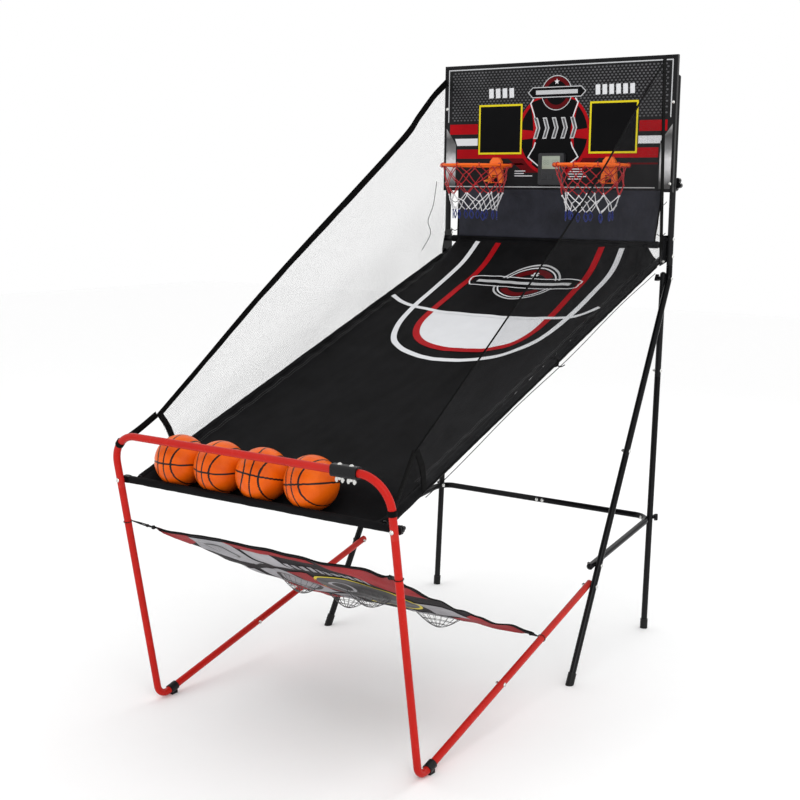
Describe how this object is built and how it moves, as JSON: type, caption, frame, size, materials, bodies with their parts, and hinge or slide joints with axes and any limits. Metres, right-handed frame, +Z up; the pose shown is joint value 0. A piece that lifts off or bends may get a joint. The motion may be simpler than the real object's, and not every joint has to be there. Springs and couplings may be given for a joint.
{
  "type": "basketball hoop machine",
  "caption": "Home arcade basketball machine: tubular frame with handrail, sloping fabric ball-return ramp, side nets, printed backboard, sprung hoops with nets and an electronic scorer.",
  "frame": {"origin": "on the floor in the middle of the bounding box", "axes": "+Z up, +Y from the player to the backboard, +X to the right of a player facing the backboard; X = 0 is the plane of symmetry of the frame"},
  "size_m": [1.019, 1.8128, 2.057],
  "materials": {
    "red_paint": "gloss red powder coat",
    "black_paint": "satin black powder coat",
    "zinc_steel": "bright zinc",
    "black_plastic": "matte moulded",
    "red_plastic": "matte moulded",
    "rubber": "matte",
    "board": "printed laminate",
    "orange_paint": "gloss orange powder coat",
    "orange_plastic": "moulded",
    "lever_wire": "bright wire",
    "net_cord": "braided polyester, red white and blue",
    "unit_case": "moulded",
    "lens": "clear",
    "circuit": "circuit board",
    "button": "soft moulded",
    "battery": "wrapped cell",
    "ball": "pebbled",
    "ramp_cloth": "printed woven polyester",
    "mesh": "fine open mesh",
    "webbing": "woven",
    "target_cloth": "printed woven polyester",
    "elastic": "covered elastic cord"
  },
  "bodies": {
    "frame": {"handrail_left": "red_paint", "handrail_right": "red_paint", "front_leg_left": "red_paint", "front_leg_right": "red_paint", "diagonal_left": "red_paint", "diagonal_right": "red_paint", "front_crossbar": "black_paint", "handrail_coupler": "black_plastic", "floor_clips": "black_plastic", "brace_lower_tubes": "black_paint", "brace_upper_tubes": "black_paint", "rear_leg_lower_tubes": "black_paint", "rear_leg_upper_tubes": "black_paint", "spreader_left": "black_paint", "spreader_right": "black_paint", "uprights": "black_paint", "corner_plates": "black_paint", "rear_crossbar": "black_paint", "ramp_rail_left": "black_paint", "ramp_rail_right": "black_paint", "rubber_feet": "rubber", "diagonal_caps": "red_plastic", "tube_caps": "black_plastic", "frame_bolts": "zinc_steel", "frame_nuts": "zinc_steel", "joint_knobs": "black_plastic", "star_knobs": "black_plastic", "backboard": "board", "hoop_rim_left": "orange_paint", "hoop_rim_right": "orange_paint", "rim_bracket_left": "orange_plastic", "rim_bracket_right": "orange_plastic", "lever_pins": "zinc_steel", "lever_switches": "black_plastic", "hoop_net_left": "net_cord", "hoop_net_right": "net_cord", "module_case": "unit_case", "display_lens": "lens", "circuit_board": "circuit", "module_back": "unit_case", "speaker": "black_plastic", "batteries": "battery", "ramp_fabric": "ramp_cloth", "side_net_left": "mesh", "side_net_right": "mesh", "net_straps": "webbing", "curtain": "ramp_cloth", "target_sheet": "target_cloth", "sheet_hooks": "zinc_steel", "sheet_cords": "elastic"},
    "ball_1": {"ball_1": "ball"},
    "ball_2": {"ball_2": "ball"},
    "ball_3": {"ball_3": "ball"},
    "ball_4": {"ball_4": "ball"},
    "battery_cover": {"battery_cover": "unit_case"},
    "button_mode": {"button_mode": "button"},
    "button_power": {"button_power": "button"},
    "button_sound": {"button_sound": "button"},
    "score_lever_left": {"score_lever_left": "lever_wire"},
    "score_lever_right": {"score_lever_right": "lever_wire"}
  },
  "joints": [
    {"name": "score_lever_left_swing", "type": "hinge", "parent": "frame", "child": "score_lever_left", "pos_m": [-0.236, 0.83962, 1.641], "axis": [1, 0, 0], "range_deg": [0, 22], "stiffness_Nm_per_rad": 0.03, "springref_deg": -34.38},
    {"name": "score_lever_right_swing", "type": "hinge", "parent": "frame", "child": "score_lever_right", "pos_m": [0.236, 0.83962, 1.641], "axis": [1, 0, 0], "range_deg": [0, 22], "stiffness_Nm_per_rad": 0.03, "springref_deg": -34.38},
    {"name": "button_power_press", "type": "slide", "parent": "frame", "child": "button_power", "axis": [0, 1, 0], "range_m": [0, 0.0015], "stiffness_N_per_m": 400, "springref_m": -0.001},
    {"name": "button_mode_press", "type": "slide", "parent": "frame", "child": "button_mode", "axis": [0, 1, 0], "range_m": [0, 0.0015], "stiffness_N_per_m": 400, "springref_m": -0.001},
    {"name": "button_sound_press", "type": "slide", "parent": "frame", "child": "button_sound", "axis": [0, 1, 0], "range_m": [0, 0.0015], "stiffness_N_per_m": 400, "springref_m": -0.001},
    {"name": "battery_cover_off", "type": "slide", "parent": "frame", "child": "battery_cover", "axis": [0, 1, 0], "range_m": [0, 0.06]},
    {"name": "ball_1_lift", "type": "slide", "parent": "frame", "child": "ball_1", "axis": [0, 0, 1], "range_m": [0, 0.3]},
    {"name": "ball_2_lift", "type": "slide", "parent": "frame", "child": "ball_2", "axis": [0, 0, 1], "range_m": [0, 0.3]},
    {"name": "ball_3_lift", "type": "slide", "parent": "frame", "child": "ball_3", "axis": [0, 0, 1], "range_m": [0, 0.3]},
    {"name": "ball_4_lift", "type": "slide", "parent": "frame", "child": "ball_4", "axis": [0, 0, 1], "range_m": [0, 0.3]}
  ]
}
